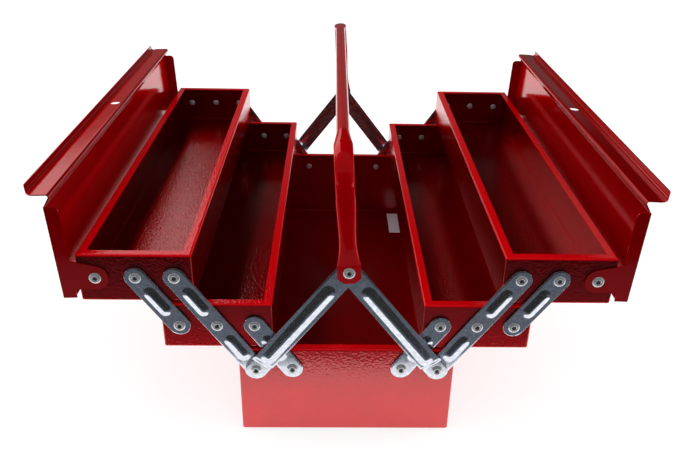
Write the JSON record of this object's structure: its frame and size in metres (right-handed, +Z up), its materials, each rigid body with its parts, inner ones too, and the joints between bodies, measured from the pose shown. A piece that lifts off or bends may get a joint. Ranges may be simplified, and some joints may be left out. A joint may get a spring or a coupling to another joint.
{
  "type": "cantilever tool box",
  "caption": "Open cantilever tool box: stepped trays swing out on parallel levers, hinged lids with padlock lips, tube handle on riveted braces.",
  "frame": {"origin": "centre of the underside of the bottom tray", "axes": "+X across the box towards the right-hand trays, +Y along the box towards its rear end, +Z up"},
  "size_m": [0.5362, 0.5046, 0.2943],
  "materials": {
    "trays": "gloss powder coat",
    "lids": "gloss powder coat",
    "handle": "gloss powder coat",
    "links": "zinc plated",
    "rivets": "zinc plated"
  },
  "bodies": {
    "base": {"bottom_tray": "trays", "outer_base_rivets": "rivets", "inner_base_rivets": "rivets", "handle_rivets": "rivets", "left_front_brace": "links", "left_rear_brace": "links", "right_front_brace": "links", "right_rear_brace": "links"},
    "left_long_links": {"left_front_long_link": "links", "left_rear_long_link": "links"},
    "left_lower_links": {"left_front_lower_link": "links", "left_rear_lower_link": "links"},
    "left_middle": {"left_middle_tray": "trays", "left_middle_rivets": "rivets"},
    "left_upper_links": {"left_front_upper_link": "links", "left_rear_upper_link": "links"},
    "left_top": {"left_top_tray": "trays", "left_top_rivets": "rivets", "left_lid_rivets": "rivets"},
    "left_cover": {"left_lid": "lids"},
    "right_long_links": {"right_front_long_link": "links", "right_rear_long_link": "links"},
    "right_lower_links": {"right_front_lower_link": "links", "right_rear_lower_link": "links"},
    "right_middle": {"right_middle_tray": "trays", "right_middle_rivets": "rivets"},
    "right_upper_links": {"right_front_upper_link": "links", "right_rear_upper_link": "links"},
    "right_top": {"right_top_tray": "trays", "right_top_rivets": "rivets", "right_lid_rivets": "rivets"},
    "right_cover": {"right_lid": "lids"},
    "handle": {"carry_handle": "handle"}
  },
  "joints": [
    {"name": "left_side_swing", "type": "hinge", "parent": "base", "child": "left_long_links", "pos_m": [-0.0839, 0, 0.0746], "axis": [0, 1, 0], "range_deg": [0, 68.2]},
    {"name": "left_lower_link_turn", "type": "hinge", "parent": "base", "child": "left_lower_links", "pos_m": [-0.0505, 0, 0.0746], "axis": [0, 1, 0], "range_deg": [0, 68.2]},
    {"name": "left_middle_tray_level", "type": "hinge", "parent": "left_long_links", "child": "left_middle", "pos_m": [-0.1169, 0, 0.1228], "axis": [0, 1, 0], "range_deg": [-68.2, 0]},
    {"name": "left_upper_link_turn", "type": "hinge", "parent": "left_middle", "child": "left_upper_links", "pos_m": [-0.1503, 0, 0.1228], "axis": [0, 1, 0], "range_deg": [0, 68.2]},
    {"name": "left_top_tray_level", "type": "hinge", "parent": "left_long_links", "child": "left_top", "pos_m": [-0.1508, 0, 0.1723], "axis": [0, 1, 0], "range_deg": [-68.2, 0]},
    {"name": "left_lid_hinge", "type": "hinge", "parent": "left_top", "child": "left_cover", "pos_m": [-0.2184, 0, 0.1717], "axis": [0, 1, 0], "range_deg": [0, 92]},
    {"name": "right_side_swing", "type": "hinge", "parent": "base", "child": "right_long_links", "pos_m": [0.0839, 0, 0.0746], "axis": [0, -1, 0], "range_deg": [0, 68.2]},
    {"name": "right_lower_link_turn", "type": "hinge", "parent": "base", "child": "right_lower_links", "pos_m": [0.0505, 0, 0.0746], "axis": [0, -1, 0], "range_deg": [0, 68.2]},
    {"name": "right_middle_tray_level", "type": "hinge", "parent": "right_long_links", "child": "right_middle", "pos_m": [0.1169, 0, 0.1228], "axis": [0, -1, 0], "range_deg": [-68.2, 0]},
    {"name": "right_upper_link_turn", "type": "hinge", "parent": "right_middle", "child": "right_upper_links", "pos_m": [0.1503, 0, 0.1228], "axis": [0, -1, 0], "range_deg": [0, 68.2]},
    {"name": "right_top_tray_level", "type": "hinge", "parent": "right_long_links", "child": "right_top", "pos_m": [0.1508, 0, 0.1723], "axis": [0, -1, 0], "range_deg": [-68.2, 0]},
    {"name": "right_lid_hinge", "type": "hinge", "parent": "right_top", "child": "right_cover", "pos_m": [0.2184, 0, 0.1717], "axis": [0, -1, 0], "range_deg": [0, 92]},
    {"name": "handle_swing", "type": "hinge", "parent": "base", "child": "handle", "pos_m": [0, 0, 0.1835], "axis": [0, 1, 0], "range_deg": [-68.5, 75.5]}
  ],
  "couplings": [
    {"joint": "left_lower_link_turn", "follows": "left_side_swing", "ratio": 1},
    {"joint": "left_middle_tray_level", "follows": "left_side_swing", "ratio": -1},
    {"joint": "left_upper_link_turn", "follows": "left_side_swing", "ratio": 1},
    {"joint": "left_top_tray_level", "follows": "left_side_swing", "ratio": -1},
    {"joint": "right_lower_link_turn", "follows": "right_side_swing", "ratio": 1},
    {"joint": "right_middle_tray_level", "follows": "right_side_swing", "ratio": -1},
    {"joint": "right_upper_link_turn", "follows": "right_side_swing", "ratio": 1},
    {"joint": "right_top_tray_level", "follows": "right_side_swing", "ratio": -1}
  ]
}
